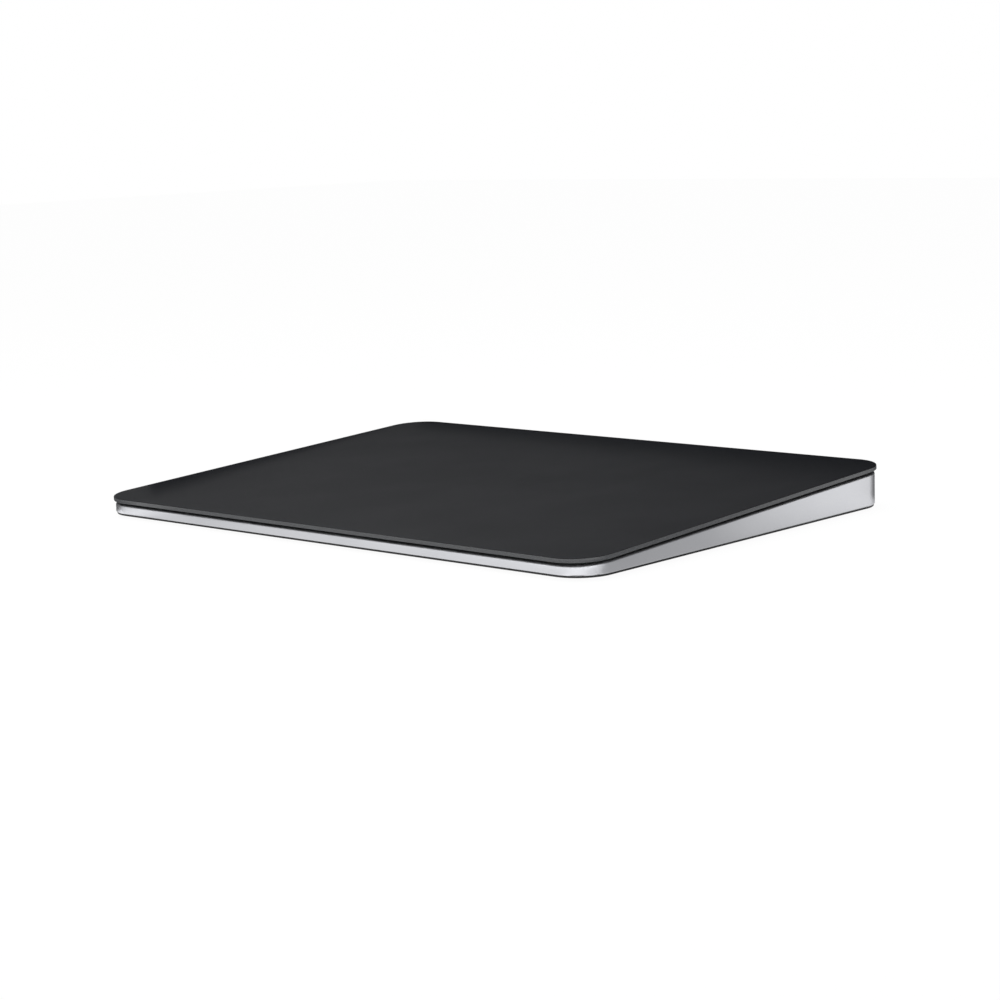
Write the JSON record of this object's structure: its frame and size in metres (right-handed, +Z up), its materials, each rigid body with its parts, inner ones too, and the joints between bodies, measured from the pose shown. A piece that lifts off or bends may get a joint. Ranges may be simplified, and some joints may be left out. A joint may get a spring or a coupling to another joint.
{
  "type": "trackpad",
  "caption": "Desk trackpad: a wedge-shaped aluminium body with a dark glass touch plate on force-sensing beams, a haptic drive, rear charging port and slide switch.",
  "frame": {"origin": "on the desk surface, under the middle of the outline", "axes": "+X to the user's right along the wide side, +Y away from the user towards the tall rear edge, +Z up"},
  "size_m": [0.16, 0.1148, 0.0109],
  "materials": {
    "body_alloy": "fine bead-blasted and anodised, satin",
    "touch_glass": "matt-etched face over a black print, polished edges",
    "base_plastic": "moulded, fine texture",
    "foot_rubber": "moulded silicone, matt",
    "adhesive_film": "black adhesive film",
    "battery_pouch": "laminated foil pouch, satin",
    "circuit_board": "solder resist, satin",
    "flex_film": "polyimide film, satin",
    "chip_resin": "moulded epoxy, matt",
    "shield_steel": "tinned sheet",
    "plate_steel": "rolled stainless sheet",
    "screw_steel": "passivated steel",
    "port_steel": "deep-drawn stainless",
    "port_resin": "moulded, matt",
    "contact_gold": "gold plated",
    "switch_plastic": "moulded, matt",
    "knob_alloy": "fine bead-blasted and anodised, satin",
    "indicator_film": "printed green film",
    "copper": "enamelled copper",
    "core_iron": "sintered iron, plated",
    "gel": "clear silicone gel"
  },
  "bodies": {
    "housing": {"enclosure": "body_alloy", "base_plate": "base_plastic", "base_adhesive": "adhesive_film", "battery_cell": "battery_pouch", "battery_adhesive": "adhesive_film", "battery_protection_board": "circuit_board", "battery_lead": "flex_film", "logic_board": "circuit_board", "logic_chips": "chip_resin", "radio_shield": "shield_steel", "logic_screws": "screw_steel", "rear_board": "circuit_board", "rear_board_screws": "screw_steel", "rear_flex": "flex_film", "port_shell": "port_steel", "port_tongue": "port_resin", "port_contacts": "contact_gold", "switch_base": "switch_plastic", "antenna_carrier": "switch_plastic", "antenna": "copper", "haptic_tray": "shield_steel", "haptic_core": "core_iron", "haptic_screws": "screw_steel", "sensor_flex": "flex_film", "gauge_flex": "flex_film", "haptic_flex": "flex_film", "beam_screws": "screw_steel", "haptic_coil_outer_left": "copper", "haptic_coil_inner_left": "copper", "haptic_coil_inner_right": "copper", "haptic_coil_outer_right": "copper", "force_beam_front_left": "plate_steel", "force_beam_front_right": "plate_steel", "force_beam_rear_left": "plate_steel", "force_beam_rear_right": "plate_steel", "strain_gauge_front_left": "flex_film", "strain_gauge_front_right": "flex_film", "strain_gauge_rear_left": "flex_film", "strain_gauge_rear_right": "flex_film", "foot_front_left": "foot_rubber", "foot_front_right": "foot_rubber", "foot_rear_left": "foot_rubber", "foot_rear_right": "foot_rubber"},
    "press_carriage": {"gel_pad_front_left": "gel", "gel_pad_front_right": "gel", "gel_pad_rear_left": "gel", "gel_pad_rear_right": "gel"},
    "touch_plate": {"touch_glass": "touch_glass", "glass_bond": "adhesive_film", "sensor_board": "circuit_board", "touch_chips": "chip_resin", "sensor_connector": "port_resin", "touch_back_plate": "plate_steel", "attraction_plate": "core_iron"},
    "power_slider": {"switch_knob": "knob_alloy", "switch_carriage": "switch_plastic", "switch_indicator": "indicator_film"}
  },
  "joints": [
    {"name": "plate_press", "type": "slide", "parent": "housing", "child": "press_carriage", "axis": [0, 0.0522, -0.9986], "range_m": [0, 0.0002], "stiffness_N_per_m": 12000, "springref_m": -0.0002, "deforming": ["force_beam_front_left", "force_beam_front_right", "force_beam_rear_left", "force_beam_rear_right"]},
    {"name": "haptic_shift", "type": "slide", "parent": "press_carriage", "child": "touch_plate", "axis": [1, 0, 0], "range_m": [-0.00015, 0.00015], "stiffness_N_per_m": 12000},
    {"name": "power_slide", "type": "slide", "parent": "housing", "child": "power_slider", "axis": [1, 0, 0], "range_m": [0, 0.0028]}
  ]
}
